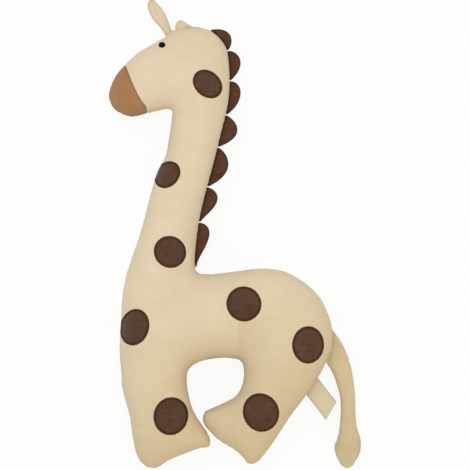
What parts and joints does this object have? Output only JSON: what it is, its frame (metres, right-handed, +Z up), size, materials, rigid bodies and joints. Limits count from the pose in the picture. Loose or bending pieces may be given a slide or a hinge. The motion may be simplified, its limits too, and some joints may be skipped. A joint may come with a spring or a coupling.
{
  "type": "giraffe cushion",
  "caption": "Stuffed giraffe-shaped cotton cushion with brown applique spots, a scalloped mane, ears and a tail.",
  "frame": {"origin": "on the table under the middle of the whole cushion, which lies on its back panel", "axes": "+Y from the feet towards the head, -X where the muzzle points, +Z up off the table"},
  "size_m": [0.322, 0.5998, 0.0789],
  "materials": {
    "cream_cotton": "matte woven cotton canvas, cream",
    "tan_cotton": "matte woven cotton canvas, tan",
    "brown_cotton": "brushed brown cotton",
    "brown_thread": "satin stitch thread, dark brown",
    "mane_cotton": "brushed cotton, dark brown",
    "black_thread": "embroidery thread, black",
    "fibre_filling": "loose white polyester fibre",
    "label_tape": "woven label tape, pale"
  },
  "bodies": {
    "body": {"front_cover": "cream_cotton", "front_muzzle": "tan_cotton", "back_cover": "cream_cotton", "back_muzzle": "tan_cotton", "trunk_filling": "fibre_filling", "neck_filling": "fibre_filling", "head_filling": "fibre_filling", "foreleg_filling": "fibre_filling", "hind_leg_filling": "fibre_filling", "front_head_spot": "brown_cotton", "front_head_stitching": "brown_thread", "front_neck_spot": "brown_cotton", "front_neck_stitching": "brown_thread", "front_lower_neck_spot": "brown_cotton", "front_lower_neck_stitching": "brown_thread", "front_chest_spot": "brown_cotton", "front_chest_stitching": "brown_thread", "front_body_spot": "brown_cotton", "front_body_stitching": "brown_thread", "front_rump_spot": "brown_cotton", "front_rump_stitching": "brown_thread", "front_hind_leg_spot": "brown_cotton", "front_hind_leg_stitching": "brown_thread", "front_foreleg_spot": "brown_cotton", "front_foreleg_stitching": "brown_thread", "front_eye": "black_thread", "back_head_spot": "brown_cotton", "back_head_stitching": "brown_thread", "back_neck_spot": "brown_cotton", "back_neck_stitching": "brown_thread", "back_lower_neck_spot": "brown_cotton", "back_lower_neck_stitching": "brown_thread", "back_chest_spot": "brown_cotton", "back_chest_stitching": "brown_thread", "back_body_spot": "brown_cotton", "back_body_stitching": "brown_thread", "back_rump_spot": "brown_cotton", "back_rump_stitching": "brown_thread", "back_hind_leg_spot": "brown_cotton", "back_hind_leg_stitching": "brown_thread", "back_foreleg_spot": "brown_cotton", "back_foreleg_stitching": "brown_thread", "back_eye": "black_thread"},
    "front_ear": {"front_ear": "cream_cotton"},
    "rear_ear": {"rear_ear": "cream_cotton"},
    "tail": {"tail": "cream_cotton"},
    "care_label": {"care_label": "label_tape"},
    "mane_scallop_1": {"mane_scallop_1": "mane_cotton"},
    "mane_scallop_2": {"mane_scallop_2": "mane_cotton"},
    "mane_scallop_3": {"mane_scallop_3": "mane_cotton"},
    "mane_scallop_4": {"mane_scallop_4": "mane_cotton"},
    "mane_scallop_5": {"mane_scallop_5": "mane_cotton"},
    "mane_scallop_6": {"mane_scallop_6": "mane_cotton"},
    "mane_scallop_7": {"mane_scallop_7": "mane_cotton"}
  },
  "joints": [
    {"name": "mane_scallop_1_seam", "type": "hinge", "parent": "body", "child": "mane_scallop_1", "pos_m": [-0.01808, 0.2497, 0.0306], "axis": [0.6469, -0.7626, 0], "range_deg": [-45, 45], "stiffness_Nm_per_rad": 0.0001},
    {"name": "mane_scallop_2_seam", "type": "hinge", "parent": "body", "child": "mane_scallop_2", "pos_m": [-0.00681, 0.21541, 0.0306], "axis": [0.1018, -0.9948, 0], "range_deg": [-45, 45], "stiffness_Nm_per_rad": 0.0001},
    {"name": "mane_scallop_3_seam", "type": "hinge", "parent": "body", "child": "mane_scallop_3", "pos_m": [-0.00728, 0.17412, 0.0306], "axis": [-0.1116, -0.9938, 0], "range_deg": [-45, 45], "stiffness_Nm_per_rad": 0.0001},
    {"name": "mane_scallop_4_seam", "type": "hinge", "parent": "body", "child": "mane_scallop_4", "pos_m": [-0.01621, 0.13179, 0.0306], "axis": [-0.2423, -0.9702, 0], "range_deg": [-45, 45], "stiffness_Nm_per_rad": 0.0001},
    {"name": "mane_scallop_5_seam", "type": "hinge", "parent": "body", "child": "mane_scallop_5", "pos_m": [-0.02787, 0.08573, 0.0306], "axis": [-0.2548, -0.967, 0], "range_deg": [-45, 45], "stiffness_Nm_per_rad": 0.0001},
    {"name": "mane_scallop_6_seam", "type": "hinge", "parent": "body", "child": "mane_scallop_6", "pos_m": [-0.03999, 0.03778, 0.0306], "axis": [-0.2237, -0.9747, 0], "range_deg": [-45, 45], "stiffness_Nm_per_rad": 0.0001},
    {"name": "mane_scallop_7_seam", "type": "hinge", "parent": "body", "child": "mane_scallop_7", "pos_m": [-0.04736, -0.01361, 0.0306], "axis": [-0.0747, -0.9972, 0], "range_deg": [-45, 45], "stiffness_Nm_per_rad": 0.0001},
    {"name": "front_ear_seam", "type": "hinge", "parent": "body", "child": "front_ear", "pos_m": [-0.08466, 0.25711, 0.0306], "axis": [0.8004, 0.5994, 0], "range_deg": [-50, 50], "stiffness_Nm_per_rad": 0.0004},
    {"name": "rear_ear_seam", "type": "hinge", "parent": "body", "child": "rear_ear", "pos_m": [-0.06955, 0.26266, 0.0306], "axis": [0.9937, 0.1117, 0], "range_deg": [0, 70], "stiffness_Nm_per_rad": 0.0002},
    {"name": "tail_seam", "type": "hinge", "parent": "body", "child": "tail", "pos_m": [0.12552, -0.14195, 0.0306], "axis": [-0.1554, -0.9879, 0], "range_deg": [-15, 50], "stiffness_Nm_per_rad": 0.02},
    {"name": "care_label_seam", "type": "hinge", "parent": "body", "child": "care_label", "pos_m": [0.09994, -0.19579, 0.0306], "axis": [-0.5149, -0.8573, 0], "range_deg": [-45, 60], "stiffness_Nm_per_rad": 0.0004}
  ]
}
